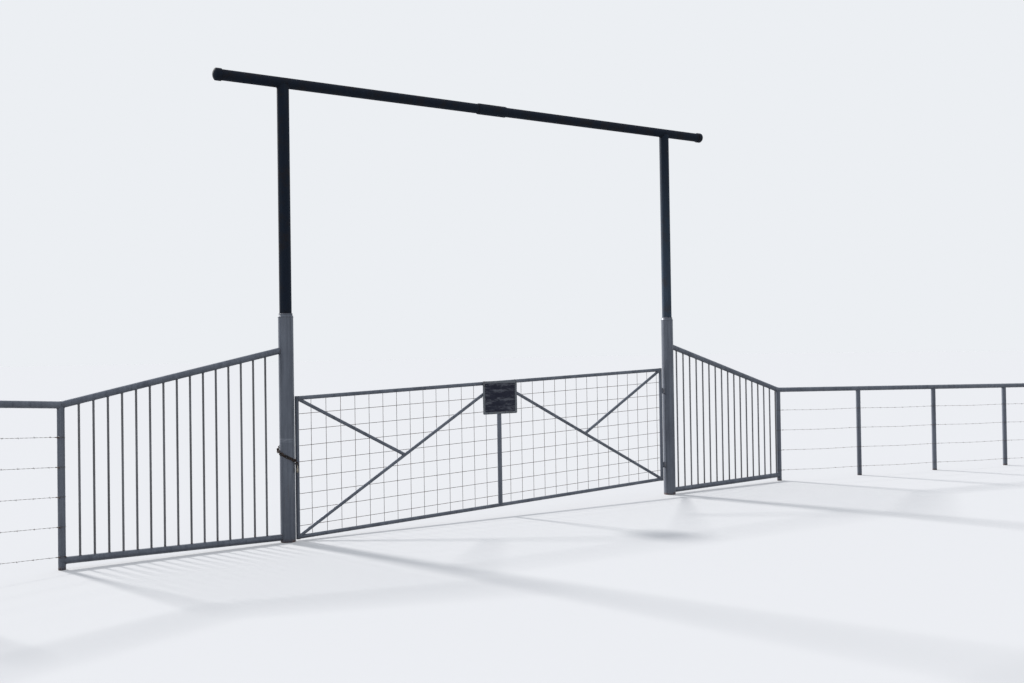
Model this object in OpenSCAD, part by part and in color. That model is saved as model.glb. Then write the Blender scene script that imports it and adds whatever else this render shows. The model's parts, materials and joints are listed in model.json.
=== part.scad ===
/* [Gateway] */
// Distance between the centres of the two main posts
gateway_span = 4840; // [3600:10:6000]
// Outside diameter of the lower length of each main post
base_od = 141.3; // [130:0.1:170]
// Wall thickness of the lower lengths
base_wall = 6.6; // [4:0.1:7]
// Height of the lower lengths, where the upper pipe is set in
base_height = 2120; // [1900:1:2600]
// Thickness of the plate that closes the foot of each main post
foot_plate = 10; // [6:1:20]
// Outside diameter of the upper length of each main post
upper_od = 114.3; // [100:0.1:115]
// Wall thickness of the upper lengths
upper_wall = 6; // [4:0.1:8]
// Depth to which the upper pipe is set into the lower one
upper_lap = 300; // [150:10:600]
// Height of the cone that closes the top of each lower length
ring_height = 30; // [12:1:60]
// Height of the straight edge at the foot of that cone
ring_edge = 4; // [2:1:10]
// Thickness of the cone at its top, beside the upper pipe
ring_lip = 3; // [2:0.5:6]

/* [Beam] */
// Height of the beam's centre line over the latch post
beam_z_latch = 4345; // [4000:5:4700]
// Height of the beam's centre line over the hinge post
beam_z_hinge = 4408; // [4000:5:4700]
// Outside diameter of the beam
beam_od = 101.6; // [90:0.1:110]
// Wall thickness of the beam
beam_wall = 5.7; // [4:0.1:8]
// Length of the beam beyond the centre of the latch post
overhang_latch = 664; // [300:1:900]
// Length of the beam beyond the centre of the hinge post
overhang_hinge = 628; // [300:1:900]
// Outside diameter of the coupling and of the end caps
coupling_od = 116; // [112:0.5:124]
// Length of the coupling that joins the two lengths of beam
coupling_length = 360; // [200:1:500]
// Distance from the latch post to the middle of the coupling
coupling_at = 2345; // [1500:1:2900]
// Length of the bevel at each end of the coupling
coupling_bevel = 10; // [2:1:40]
// Length of each cap
cap_length = 76; // [60:1:160]
// Depth of the dished end of each cap
cap_dish = 32; // [28:1:40]
// Radius of the curve between a cap's side and its dished end
cap_knuckle = 18; // [10:1:20]
// Thickness of the dished ends
cap_wall = 8; // [6:1:10]

/* [Wings] */
// Length of each wing, from main post to corner post
wing_span = 1960; // [1200:5:2600]
// Outside diameter of the rails, corner posts and fence posts
rail_od = 60.3; // [48:0.1:70]
// Wall thickness of the rails, corner posts and fence posts
rail_wall = 3.9; // [3:0.1:6]
// Height of each wing's top rail at the main post
wing_z_main = 1818; // [1650:1:1890]
// Height of the latch side's rails at the corner post
corner_z_latch = 1372; // [1340:1:1500]
// Height of the hinge side's rails at the corner post
corner_z_hinge = 1205; // [1100:1:1400]
// Height of the foot rail's centre line at the corner post
foot_rail_z_corner = 76; // [45:1:78]
// Height of the foot rail's centre line at the main post
foot_rail_z_main = 46; // [36:1:78]
// Diameter of the wing pickets
picket_od = 19; // [12:0.5:25]
// Distance from the latch side's corner post to its first picket
picket_first_latch = 140; // [60:1:200]
// Spacing of the latch side's pickets
picket_pitch_latch = 115.4; // [90:0.1:160]
// Distance from the hinge side's corner post to its first picket
picket_first_hinge = 55; // [50:1:200]
// Spacing of the hinge side's pickets
picket_pitch_hinge = 110; // [90:0.1:160]

/* [Fences] */
// Angle between each fence and the line of the gateway
fence_turn = 14; // [0:1:30]
// Distance between fence posts
fence_bay = 1295; // [1000:5:1800]
// Number of bays on the latch side
bays_latch = 2; // [1:1:3]
// Number of bays on the hinge side
bays_hinge = 4; // [1:1:5]
// Rise of the latch side's fence in each bay
fence_rise_latch = 80; // [0:5:120]
// Fall of the hinge side's fence in each bay
fence_fall_hinge = 14; // [0:1:40]
// Length of fence rail beyond the last post
fence_tail = 45; // [35:1:100]
// Diameter of the two twisted wires of a strand
strand_od = 4; // [3:0.5:6]
// Drop from the rail's centre line to the first strand
strand_first = 268; // [200:1:272]
// Spacing of the latch side's strands
strand_pitch_latch = 248; // [200:1:250]
// Spacing of the hinge side's strands
strand_pitch_hinge = 265; // [200:1:270]
// Number of strands on the latch side
strands_latch = 5; // [2:1:5]
// Number of strands on the hinge side
strands_hinge = 4; // [2:1:4]

/* [Gate] */
// Distance from the latch post's centre to the gate's latch stile
latch_gap = 99; // [97:1:140]
// Distance from the hinge post's centre to the gate's hinge stile
hinge_gap = 124; // [124:1:150]
// Outside diameter of the gate's rails and end stiles
frame_od = 38.1; // [30:0.1:40]
// Wall thickness of the gate's pipes
frame_wall = 2.8; // [2:0.1:4]
// Height of the top rail's centre line at the latch stile
top_z_latch = 1350; // [1200:1:1500]
// Height of the top rail's centre line at the hinge stile
top_z_hinge = 1518; // [1400:1:1600]
// Height of the foot rail's centre line at the latch stile
foot_z_latch = 32; // [28:1:120]
// Height of the foot rail's centre line at the hinge stile
foot_z_hinge = 195; // [60:1:250]
// Outside diameter of the middle stile
middle_od = 48.3; // [40:0.1:55]
// Distance from the latch stile to the middle stile
middle_at = 2286; // [1600:1:2800]
// Outside diameter of the braces
brace_od = 33.4; // [26:0.1:38]
// Spacing of the mesh wires
mesh_pitch = 152.4; // [100:0.1:200]
// Diameter of the mesh wires
mesh_wire = 5; // [4:0.1:6]
// Distance from a stile's centre at which the mesh wires end
mesh_inset = 8; // [8:0.5:14]

/* [Hinges] */
// Distance from the hinge post's centre to the hinge pins
pin_at = 88; // [87.5:0.1:90]
// Diameter of the hinge pins
pin_od = 16; // [12:0.5:17]
// Clearance round a hinge pin
pin_clearance = 0.1; // [0.05:0.01:0.1]
// Outside diameter of the eyes that turn on the pins
eye_od = 24; // [22:0.5:25]
// Height of each eye
eye_height = 42; // [25:1:60]
// Length of pin above its eye
pin_above = 14; // [5:1:30]
// Thickness of the lug that carries each pin
lug_thick = 12; // [8:1:20]
// Height of the lower hinge
low_hinge_z = 345; // [280:1:500]
// Height of the upper hinge
high_hinge_z = 1240; // [900:1:1300]

/* [Sign] */
// Width of the sign's backing sheet
backing_width = 435; // [300:1:600]
// Height of the sign's backing sheet
backing_height = 355; // [200:1:450]
// Width of the plate on the backing sheet
plate_width = 380; // [200:1:600]
// Height of the plate on the backing sheet
plate_height = 305; // [150:1:450]
// Thickness of the backing sheet
backing_thick = 3; // [1:0.5:6]
// Thickness of the plate
plate_thick = 2; // [1:0.5:4]
// Drop from the top rail's centre line to the sign's centre
sign_drop = 161; // [100:1:300]

/* [Chain] */
// Diameter of the chain's wire
link_wire = 9; // [7:0.5:10]
// Distance between the two bars of a link, centre to centre
link_gauge = 24; // [22:0.5:27]
// Length of the straight part of a link
link_straight = 15; // [12:0.5:18]
// Height of the chain where it starts behind the latch post
chain_start_z = 905; // [700:1:1100]
// Number of links that lie on the latch post
wrap_links = 12; // [8:1:13]
// Number of links that hang free
tail_links = 2; // [2:1:3]
// Play between one link and the next
link_play = 1; // [0.9:0.05:1.4]
// Angle at which the chain falls as it goes round the post
chain_fall = 25; // [15:1:30]
// Width of the padlock's body
lock_width = 44; // [38:1:60]
// Height of the padlock's body
lock_height = 38; // [25:1:50]
// Thickness of the padlock's body
lock_thick = 19; // [14:1:24]

/* [Clearances] */
// Gap left at a joint for its weld
weld_gap = 0.3; // [0.2:0.05:0.6]

/* [Hidden] */
$fn = 48;
dark = "#23262b";
silver = "#8d949c";
rust = "#5b4436";
cut = 1;
past = rail_od;
far = gateway_span;
latch_x = -gateway_span;
base_r = base_od / 2;
rail_r = rail_od / 2;
frame_r = frame_od / 2;
middle_r = middle_od / 2;
beam_tilt = atan((beam_z_hinge - beam_z_latch) / gateway_span);
beam_run = gateway_span / cos(beam_tilt);
stile_x_latch = latch_x + latch_gap;
stile_x_hinge = -hinge_gap;
stile_x_middle = stile_x_latch + middle_at;
gate_length = stile_x_hinge - stile_x_latch;
mesh_y = frame_r + weld_gap + mesh_wire / 2;
mesh_layer = mesh_wire * 0.4;
mesh_inner_y = mesh_y + mesh_layer - mesh_wire / 2;
mesh_middle_inset = sqrt(max(pow(middle_r + weld_gap, 2) - pow(mesh_inner_y, 2), pow(mesh_inset, 2)));
sign_y = -(middle_r + weld_gap);

function gate_top_z(x) = top_z_latch + (top_z_hinge - top_z_latch) * (x - stile_x_latch) / gate_length;
function gate_foot_z(x) = foot_z_latch + (foot_z_hinge - foot_z_latch) * (x - stile_x_latch) / gate_length;
function midpoint(a, b) = (a + b) / 2;

top_latch = [stile_x_latch, 0, top_z_latch];
top_middle = [stile_x_middle, 0, gate_top_z(stile_x_middle)];
top_hinge = [stile_x_hinge, 0, top_z_hinge];
foot_latch = [stile_x_latch, 0, foot_z_latch];
foot_middle = [stile_x_middle, 0, gate_foot_z(stile_x_middle)];
foot_hinge = [stile_x_hinge, 0, foot_z_hinge];

// Turns the z axis so that it runs from a to b
module along(a, b) {
  d = b - a;
  translate(a) rotate([0, acos(d.z / norm(d)), atan2(d.y, d.x)]) children();
}

// A solid bar from a to b
module bar(a, b, od) {
  along(a, b) cylinder(d = od, h = norm(b - a));
}

// A hollow pipe from a to b
module pipe(a, b, od, wall) {
  length = norm(b - a);
  along(a, b) difference() {
    cylinder(d = od, h = length);
    translate([0, 0, -cut]) cylinder(d = od - 2 * wall, h = length + 2 * cut);
  }
}

// The space that a pipe and its weld gap take, to cope another pipe against it
module cope(a, b, od) {
  run = (b - a) / norm(b - a);
  bar(a - past * run, b + past * run, od + 2 * weld_gap);
}

// Main posts

module post_base() {
  color(silver) difference() {
    cylinder(d = base_od, h = base_height);
    translate([0, 0, foot_plate]) cylinder(d = base_od - 2 * base_wall, h = base_height);
  }
}

module post_ring() {
  inner = upper_od / 2 + weld_gap;
  color(silver) translate([0, 0, base_height + weld_gap]) rotate_extrude()
    polygon([
      [inner, 0], [base_r, 0], [base_r, ring_edge], [inner + ring_lip, ring_height], [inner, ring_height]
    ]);
}

module post_upper(beam_z) {
  seat = beam_z - beam_od / 8;
  color(dark) difference() {
    pipe([0, 0, base_height - upper_lap], [0, 0, seat], upper_od, upper_wall);
    translate([0, 0, beam_z]) rotate([0, 90 - beam_tilt, 0])
      cylinder(d = beam_od + 2 * weld_gap, h = 2 * upper_od, center = true);
  }
}

// Beam, laid out along x from the latch post and then tilted

module on_beam() {
  translate([latch_x, 0, beam_z_latch]) rotate([0, -beam_tilt, 0]) children();
}

module beam_length(from, to) {
  color(dark) on_beam() pipe([from, 0, 0], [to, 0, 0], beam_od, beam_wall);
}

module beam_latch_length() {
  beam_length(-overhang_latch + cap_dish + weld_gap, coupling_at - weld_gap);
}

module beam_hinge_length() {
  beam_length(coupling_at + weld_gap, beam_run + overhang_hinge - cap_dish - weld_gap);
}

module beam_coupling() {
  outer = coupling_od / 2;
  lip = (outer + beam_od / 2) / 2;
  color(dark) on_beam() translate([coupling_at - coupling_length / 2, 0, 0]) rotate([0, 90, 0])
    rotate_extrude() difference() {
      polygon([
        [0, 0], [lip, 0], [outer, coupling_bevel],
        [outer, coupling_length - coupling_bevel], [lip, coupling_length], [0, coupling_length]
      ]);
      translate([-cut, -cut]) square([beam_od / 2 + weld_gap + cut, coupling_length + 2 * cut]);
    }
}

// Half the outline of a dished end that bulges towards -y: a wide arc over the middle, and a
// tight one that turns down to the side
module dish(radius, depth, knuckle) {
  knuckle_x = radius - knuckle;
  crown = (knuckle_x * knuckle_x + depth * depth - knuckle * knuckle) / (2 * (depth - knuckle));
  turn = atan(knuckle_x / (crown - depth));
  reach = 2 * crown;
  intersection() {
    translate([0, -depth]) square([radius, depth]);
    union() {
      translate([knuckle_x, 0]) circle(r = knuckle);
      translate([0, crown - depth]) intersection() {
        circle(r = crown);
        polygon([[0, 0], [0, -reach], [reach * sin(turn), -reach * cos(turn)]]);
      }
    }
  }
}

// A cap with a dished end, open towards +z. The beam's end seats on the step at z = 0
module beam_cap() {
  color(dark) rotate_extrude() difference() {
    union() {
      square([coupling_od / 2, cap_length - cap_dish]);
      dish(coupling_od / 2, cap_dish, cap_knuckle);
    }
    square([beam_od / 2 + weld_gap, cap_length]);
    dish(beam_od / 2 - beam_wall, cap_dish - cap_wall, cap_knuckle - cap_wall / 2);
  }
}

module beam_latch_cap() {
  on_beam() translate([cap_dish - overhang_latch, 0, 0]) rotate([0, 90, 0]) beam_cap();
}

module beam_hinge_cap() {
  on_beam() translate([beam_run + overhang_hinge - cap_dish, 0, 0]) rotate([0, -90, 0]) beam_cap();
}

// Each side is laid out from its corner post: the wing runs along +x to the main post,
// and the fence runs the other way, turned by fence_turn

module latch_side() {
  translate([latch_x - wing_span, 0, 0]) children();
}

module hinge_side() {
  translate([wing_span, 0, 0]) mirror([1, 0, 0]) children();
}

module along_fence() {
  rotate([0, 0, 180 + fence_turn]) children();
}

// Everything on the fence's side of the mitre at the corner post, up to edge beyond it
module fence_half(edge = weld_gap / 2) {
  rotate([0, 0, fence_turn / 2]) translate([edge - far, -far / 2, -far / 2]) cube(far);
}

// Everything on the wing's side of the mitre at the corner post, up to edge beyond it
module wing_half(edge = weld_gap / 2) {
  rotate([0, 0, fence_turn / 2]) translate([-edge, -far / 2, -far / 2]) cube(far);
}

function wing_z(x, corner_z, main_z) = corner_z + (main_z - corner_z) * x / wing_span;

module main_post_cope() {
  translate([wing_span, 0, -cut]) cylinder(d = base_od + 2 * weld_gap, h = base_height);
}

module wing_top_rail(corner_z) {
  start = [0, 0, corner_z];
  end = [wing_span, 0, wing_z_main];
  run = (end - start) / norm(end - start);
  color(silver) difference() {
    pipe(start - past * run, end, rail_od, rail_wall);
    fence_half();
    main_post_cope();
  }
}

module wing_foot_rail() {
  color(silver) difference() {
    pipe([0, 0, foot_rail_z_corner], [wing_span, 0, foot_rail_z_main], rail_od, rail_wall);
    translate([0, 0, -cut]) cylinder(d = rail_od + 2 * weld_gap, h = 2 * foot_rail_z_corner);
    main_post_cope();
  }
}

module wing_pickets(corner_z, first, pitch) {
  last = wing_span - base_r - picket_od;
  color(silver) difference() {
    for (x = [first:pitch:last])
      bar([x, 0, wing_z(x, foot_rail_z_corner, foot_rail_z_main)],
        [x, 0, wing_z(x, corner_z, wing_z_main)], picket_od);
    cope([0, 0, corner_z], [wing_span, 0, wing_z_main], rail_od);
    cope([0, 0, foot_rail_z_corner], [wing_span, 0, foot_rail_z_main], rail_od);
  }
}

// The post's top is coped against each rail on that rail's own side of the mitre
module corner_post(corner_z, fence_slope) {
  color(silver) difference() {
    pipe([0, 0, 0], [0, 0, corner_z], rail_od, rail_wall);
    difference() {
      cope([0, 0, corner_z], [wing_span, 0, wing_z_main], rail_od);
      fence_half(-weld_gap);
    }
    difference() {
      along_fence() cope([0, 0, corner_z], [fence_bay, 0, corner_z + fence_slope], rail_od);
      wing_half(-weld_gap);
    }
  }
}

module fence_rail(corner_z, fence_slope, bays) {
  start = [0, 0, corner_z];
  end = [fence_bay, 0, corner_z + fence_slope];
  run = (end - start) / fence_bay;
  tail = start + (bays * fence_bay + fence_tail) * run;
  color(silver) difference() {
    along_fence() pipe(start - past * run, tail, rail_od, rail_wall);
    wing_half();
  }
}

module fence_posts(corner_z, fence_slope, bays) {
  color(silver) along_fence() difference() {
    for (n = [1:bays])
      pipe([n * fence_bay, 0, 0], [n * fence_bay, 0, corner_z + n * fence_slope], rail_od, rail_wall);
    cope([0, 0, corner_z], [bays * fence_bay, 0, corner_z + bays * fence_slope], rail_od);
  }
}

// A strand runs past the posts on one side, and its ends are wrapped round the first and the last
module fence_wires(corner_z, fence_slope, bays, strands, strand_pitch) {
  side = rail_r + weld_gap + strand_od / 2;
  end_x = bays * fence_bay;
  color(rust) along_fence() for (k = [1:strands]) {
    start_z = corner_z - strand_first - (k - 1) * strand_pitch;
    end_z = start_z + bays * fence_slope;
    bar([weld_gap, side, start_z], [end_x - weld_gap, side, end_z], strand_od);
    translate([0, 0, start_z]) wire_wrap(side);
    translate([end_x, 0, end_z]) mirror([1, 0, 0]) wire_wrap(side);
  }
}

// A strand's end, bent round a post from the side on which the strand arrives
module wire_wrap(radius) {
  rotate([0, 0, 90]) rotate_extrude(angle = 320) translate([radius, 0]) circle(d = strand_od);
}

// Gate

module gate_rail(a, b) {
  color(silver) difference() {
    pipe(a, b, frame_od, frame_wall);
    cope(top_latch, foot_latch, frame_od);
    cope(top_hinge, foot_hinge, frame_od);
  }
}

module end_stile(foot, top) {
  color(silver) pipe(foot - [0, 0, frame_r], top + [0, 0, frame_r], frame_od, frame_wall);
}

module gate_middle_stile() {
  color(silver) difference() {
    pipe(foot_middle, top_middle, middle_od, frame_wall);
    cope(top_latch, top_hinge, frame_od);
    cope(foot_latch, foot_hinge, frame_od);
  }
}

// A brace between two corners of the frame, coped against all the pipes there
module brace(a, b) {
  color(silver) difference() {
    pipe(a, b, brace_od, frame_wall);
    cope(top_latch, top_hinge, frame_od);
    cope(foot_latch, foot_hinge, frame_od);
    cope(top_latch, foot_latch, frame_od);
    cope(top_hinge, foot_hinge, frame_od);
    cope(top_middle, foot_middle, middle_od);
  }
}

module gate_latch_short_brace() {
  color(silver) difference() {
    brace(top_latch, midpoint(foot_latch, top_middle));
    cope(foot_latch, top_middle, brace_od);
  }
}

module gate_hinge_short_brace() {
  color(silver) difference() {
    brace(top_hinge, midpoint(foot_hinge, top_middle));
    cope(foot_hinge, top_middle, brace_od);
  }
}

// One panel of mesh between two stiles, laid on the back of the rails. The long wires lie behind
// the upright ones, and are pressed into them at their welds
module mesh(left, right) {
  rows = floor((top_z_latch - foot_z_latch - frame_r) / mesh_pitch);
  first = ceil((left - stile_x_latch) / mesh_pitch) * mesh_pitch + stile_x_latch;
  color(rust) translate([0, mesh_y, 0]) union() {
    for (x = [first:mesh_pitch:right])
      bar([x, 0, gate_foot_z(x)], [x, 0, gate_top_z(x)], mesh_wire, $fn = 6);
    for (n = [1:rows])
      bar([left, mesh_layer, gate_top_z(left) - n * mesh_pitch],
        [right, mesh_layer, gate_top_z(right) - n * mesh_pitch], mesh_wire, $fn = 6);
  }
}

module gate_latch_mesh() {
  mesh(stile_x_latch + mesh_inset, stile_x_middle - mesh_middle_inset);
}

module gate_hinge_mesh() {
  mesh(stile_x_middle + mesh_middle_inset, stile_x_hinge - mesh_inset);
}

module hinge_eye() {
  difference() {
    union() {
      cylinder(d = eye_od, h = eye_height);
      translate([-(hinge_gap - pin_at), -pin_od / 2, 0]) cube([hinge_gap - pin_at, pin_od, eye_height]);
    }
    translate([0, 0, -cut]) cylinder(d = pin_od + 2 * pin_clearance, h = eye_height + 2 * cut);
    translate([pin_at - hinge_gap, 0, -cut])
      cylinder(d = frame_od + 2 * weld_gap, h = eye_height + 2 * cut);
  }
}

module gate_hinge_eyes() {
  color(silver) for (z = [low_hinge_z, high_hinge_z])
    translate([-pin_at, 0, z]) hinge_eye();
}

module hinge_pin() {
  difference() {
    union() {
      translate([0, 0, -lug_thick - weld_gap]) cylinder(d = eye_od, h = lug_thick);
      translate([0, -eye_od / 2, -lug_thick - weld_gap]) cube([pin_at, eye_od, lug_thick]);
      translate([0, 0, -lug_thick]) cylinder(d = pin_od, h = lug_thick + eye_height + pin_above);
    }
    translate([pin_at, 0, -far / 2]) cylinder(d = base_od + 2 * weld_gap, h = far);
  }
}

module hinge_pins() {
  color(silver) for (z = [low_hinge_z, high_hinge_z])
    translate([-pin_at, 0, z]) hinge_pin();
}

// Sign

module sheet(width, height, thick, back_y) {
  middle_z = gate_top_z(stile_x_middle) - sign_drop;
  translate([stile_x_middle - width / 2, back_y - thick, middle_z - height / 2])
    cube([width, thick, height]);
}

module sign_backing() {
  color("#7d8288") sheet(backing_width, backing_height, backing_thick, sign_y);
}

module sign_plate() {
  color("#1f2735") sheet(plate_width, plate_height, plate_thick, sign_y - backing_thick - weld_gap);
}

// Chain. Each link's centre lies half a pitch beyond the joint with the link before it,
// and a link is turned a quarter turn from its neighbours

link_pitch = link_straight + link_gauge - link_wire - link_play;
wrap_radius = base_r + weld_gap + (link_gauge / 2) * cos(45) + link_wire / 2;
wrap_step = 2 * atan(link_pitch * cos(chain_fall) / 2 / wrap_radius);
wrap_end = 298;
straight_down = 90;
wrap_start = wrap_end - (wrap_links - 1) * wrap_step;
dip_step = 22;

function heading(n) = 90 + (n < wrap_links ? wrap_start + n * wrap_step : wrap_end);
function dip(n) = n < wrap_links
  ? chain_fall
  : min(straight_down, chain_fall + dip_step * (n - wrap_links + 1));
function roll(n) = n % 2 == 0 ? 45 : -45;
function run_of(n) = [cos(dip(n)) * cos(heading(n)), cos(dip(n)) * sin(heading(n)), -sin(dip(n))];
function link_centre(n) = n == 0
  ? [latch_x + wrap_radius * cos(wrap_start), wrap_radius * sin(wrap_start), chain_start_z]
  : link_centre(n - 1) + (run_of(n - 1) + run_of(n)) * link_pitch / 2;

// Places a link's own x axis along the chain
module at_link(n) {
  translate(link_centre(n)) rotate([roll(n), dip(n), heading(n)]) children();
}

module half_bow() {
  rotate_extrude(angle = 180) translate([link_gauge / 2, 0]) circle(d = link_wire);
}

// The two bars of a link, from one bow to x = end
module link_bars(end) {
  for (side = [-1, 1])
    translate([-link_straight / 2, side * link_gauge / 2, 0]) rotate([0, 90, 0])
      cylinder(d = link_wire, h = end + link_straight / 2);
}

module link() {
  link_bars(link_straight / 2);
  for (side = [-1, 1])
    translate([side * link_straight / 2, 0, 0]) rotate([0, 0, -90 * side]) half_bow();
}

module latch_chain() {
  color(rust) for (n = [0:wrap_links + tail_links - 1]) at_link(n) link();
}

module lock_outline(corner) {
  translate([0, corner - lock_width / 2]) square([lock_height, lock_width - 2 * corner]);
  translate([corner, -lock_width / 2]) square([lock_height - 2 * corner, lock_width]);
  for (x = [corner, lock_height - corner], side = [-1, 1])
    translate([x, side * (lock_width / 2 - corner)]) circle(r = corner);
}

// The shackle hangs from the last link as one more link would
module padlock() {
  corner = lock_thick / 3;
  color("#b9b3a4") at_link(wrap_links + tail_links) {
    translate([-link_straight / 2, 0, 0]) rotate([0, 0, 90]) half_bow();
    link_bars(link_gauge / 2);
    translate([link_gauge / 2, 0, -lock_thick / 2]) linear_extrude(lock_thick) lock_outline(corner);
  }
}

translate([latch_x, 0, 0]) post_base();  // latch_post_base
translate([latch_x, 0, 0]) post_upper(beam_z_latch);  // latch_post_upper
translate([latch_x, 0, 0]) post_ring();  // latch_post_ring
post_base();  // hinge_post_base
post_upper(beam_z_hinge);  // hinge_post_upper
post_ring();  // hinge_post_ring
beam_latch_length();
beam_hinge_length();
beam_coupling();
beam_latch_cap();
beam_hinge_cap();
latch_side() wing_top_rail(corner_z_latch);  // latch_wing_top_rail
latch_side() wing_foot_rail();  // latch_wing_foot_rail
latch_side() wing_pickets(corner_z_latch, picket_first_latch, picket_pitch_latch);  // latch_wing_pickets
latch_side() corner_post(corner_z_latch, fence_rise_latch);  // latch_corner_post
hinge_side() wing_top_rail(corner_z_hinge);  // hinge_wing_top_rail
hinge_side() wing_foot_rail();  // hinge_wing_foot_rail
hinge_side() wing_pickets(corner_z_hinge, picket_first_hinge, picket_pitch_hinge);  // hinge_wing_pickets
hinge_side() corner_post(corner_z_hinge, -fence_fall_hinge);  // hinge_corner_post
latch_side() fence_posts(corner_z_latch, fence_rise_latch, bays_latch);  // latch_fence_posts
latch_side() fence_rail(corner_z_latch, fence_rise_latch, bays_latch);  // latch_fence_rail
latch_side() fence_wires(corner_z_latch, fence_rise_latch, bays_latch, strands_latch, strand_pitch_latch);  // latch_fence_wires
hinge_side() fence_posts(corner_z_hinge, -fence_fall_hinge, bays_hinge);  // hinge_fence_posts
hinge_side() fence_rail(corner_z_hinge, -fence_fall_hinge, bays_hinge);  // hinge_fence_rail
hinge_side() fence_wires(corner_z_hinge, -fence_fall_hinge, bays_hinge, strands_hinge, strand_pitch_hinge);  // hinge_fence_wires
gate_rail(top_latch, top_hinge);  // gate_top_rail
gate_rail(foot_latch, foot_hinge);  // gate_foot_rail
end_stile(foot_latch, top_latch);  // gate_latch_stile
end_stile(foot_hinge, top_hinge);  // gate_hinge_stile
gate_middle_stile();
brace(foot_latch, top_middle);  // gate_latch_long_brace
gate_latch_short_brace();
brace(foot_hinge, top_middle);  // gate_hinge_long_brace
gate_hinge_short_brace();
gate_latch_mesh();
gate_hinge_mesh();
gate_hinge_eyes();
hinge_pins();
sign_backing();
sign_plate();
latch_chain();
padlock();
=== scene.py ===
# %% [markdown]
# # A pipe ranch gateway
# Two tall posts and a beam stand over a gate of thin pipe and wire mesh. Sloping picket wings
# join the posts to a low pipe fence with barbed wire. The pipes themselves come finished from
# the frame, so this lesson gives them their paint and rust, and adds what is too small for the
# frame: weld beads, threads, twisted wire, barbs, ties, rivets and the plates of the padlock.

# %% Load the frame
import json
import math
import random
from collections import namedtuple

import bpy
import numpy as np
from mathutils import Matrix, Vector


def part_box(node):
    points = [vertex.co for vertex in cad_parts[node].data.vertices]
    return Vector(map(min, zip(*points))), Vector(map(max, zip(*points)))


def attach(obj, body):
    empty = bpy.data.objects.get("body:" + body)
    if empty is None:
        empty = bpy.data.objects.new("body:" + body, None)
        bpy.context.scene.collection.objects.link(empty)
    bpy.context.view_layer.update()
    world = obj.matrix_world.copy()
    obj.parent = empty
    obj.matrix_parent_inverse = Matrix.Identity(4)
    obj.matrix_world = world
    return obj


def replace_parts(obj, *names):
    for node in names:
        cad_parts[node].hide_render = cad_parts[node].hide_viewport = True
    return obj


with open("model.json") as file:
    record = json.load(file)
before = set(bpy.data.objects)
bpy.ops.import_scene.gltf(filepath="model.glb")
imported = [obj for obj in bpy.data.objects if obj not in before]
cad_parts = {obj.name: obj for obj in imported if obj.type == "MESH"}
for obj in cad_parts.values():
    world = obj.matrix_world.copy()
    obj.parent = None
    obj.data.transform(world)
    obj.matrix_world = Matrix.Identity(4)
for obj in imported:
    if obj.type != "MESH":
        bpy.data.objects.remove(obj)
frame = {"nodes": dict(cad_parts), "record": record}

SIDES = ("latch", "hinge")
UP = Vector((0, 0, 1))
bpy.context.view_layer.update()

# %% [markdown]
# ## The camera
# The photograph was taken from standing height, beside the drive and turned towards the hinge
# post. The lens and the place were solved from the posts, the beam and the mesh, whose real
# sizes are known. A camera in Blender looks along its own -Z, so its axes are set as columns.

# %% Camera
EYE = Vector((-8.136, -8.850, 1.750))
LENS_MM = 34.18
FARTHEST_SEEN = 2000
YAW, PITCH, ROLL = (math.radians(a) for a in (-33.52, 0.67, 0.86))


def add(name, data):
    """Puts a new object into the scene."""
    made = bpy.data.objects.new(name, data)
    bpy.context.scene.collection.objects.link(made)
    return made


ahead = Vector((-math.sin(YAW) * math.cos(PITCH), math.cos(YAW) * math.cos(PITCH), math.sin(PITCH)))
level_right = Vector((math.cos(YAW), math.sin(YAW), 0))
level_up = level_right.cross(ahead)
right = level_right * math.cos(ROLL) - level_up * math.sin(ROLL)
up = level_right * math.sin(ROLL) + level_up * math.cos(ROLL)

lens = bpy.data.cameras.new("camera")
lens.lens = LENS_MM
lens.clip_end = FARTHEST_SEEN
camera = add("camera", lens)
camera.matrix_world = Matrix.Translation(EYE) @ Matrix((right, up, -ahead)).transposed().to_4x4()
bpy.context.scene.camera = camera
bpy.context.scene.view_settings.view_transform = "Standard"
print("camera at", tuple(round(v, 2) for v in EYE))

# %% [markdown]
# ## Building shaders
# A node tree is easier to read when each node is one line, so one helper makes a node and takes
# its settings by name. Colours are written as they look on a screen, and turned into the linear
# values that a shader works with.

# %% Node helpers
def feed(tree, node, inputs):
    """Gives each input a plain value, or a link from another node's output."""
    for key, value in inputs.items():
        if isinstance(value, bpy.types.NodeSocket):
            tree.links.new(value, node.inputs[key])
        else:
            node.inputs[key].default_value = value


def put(tree, kind, inputs=None, **settings):
    """Adds a shader node with its settings and its inputs."""
    made = tree.nodes.new("ShaderNode" + kind)
    for name, value in settings.items():
        setattr(made, name, value)
    feed(tree, made, inputs or {})
    return made


def rgb(red, green, blue):
    """A colour written as on screen, 0 to 255, in linear values."""
    linear = [((v / 255 + 0.055) / 1.055) ** 2.4 if v > 10 else v / 255 / 12.92 for v in (red, green, blue)]
    return (*linear, 1.0)


print("half grey on screen is", round(rgb(128, 128, 128)[0], 3), "in a shader")

# %% [markdown]
# Weathered steel is made of a few patterns laid over each other: cloudy patches, streaks where
# rain has run down, and specks where paint has chipped. Each is noise with its own stretch, cut
# between two levels. Object coordinates keep the pattern on the pipe when the gate swings.

# %% Pattern helpers
def place(tree, stretch=(1, 1, 1)):
    """The object's own coordinates in metres, stretched along x, y and z."""
    spot = put(tree, "TexCoord").outputs["Object"]
    return put(tree, "Mapping", {"Vector": spot, "Scale": stretch}).outputs["Vector"]


def height(tree):
    """Height above the ground in metres."""
    return put(tree, "SeparateXYZ", {"Vector": put(tree, "TexCoord").outputs["Object"]}).outputs["Z"]


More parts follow.
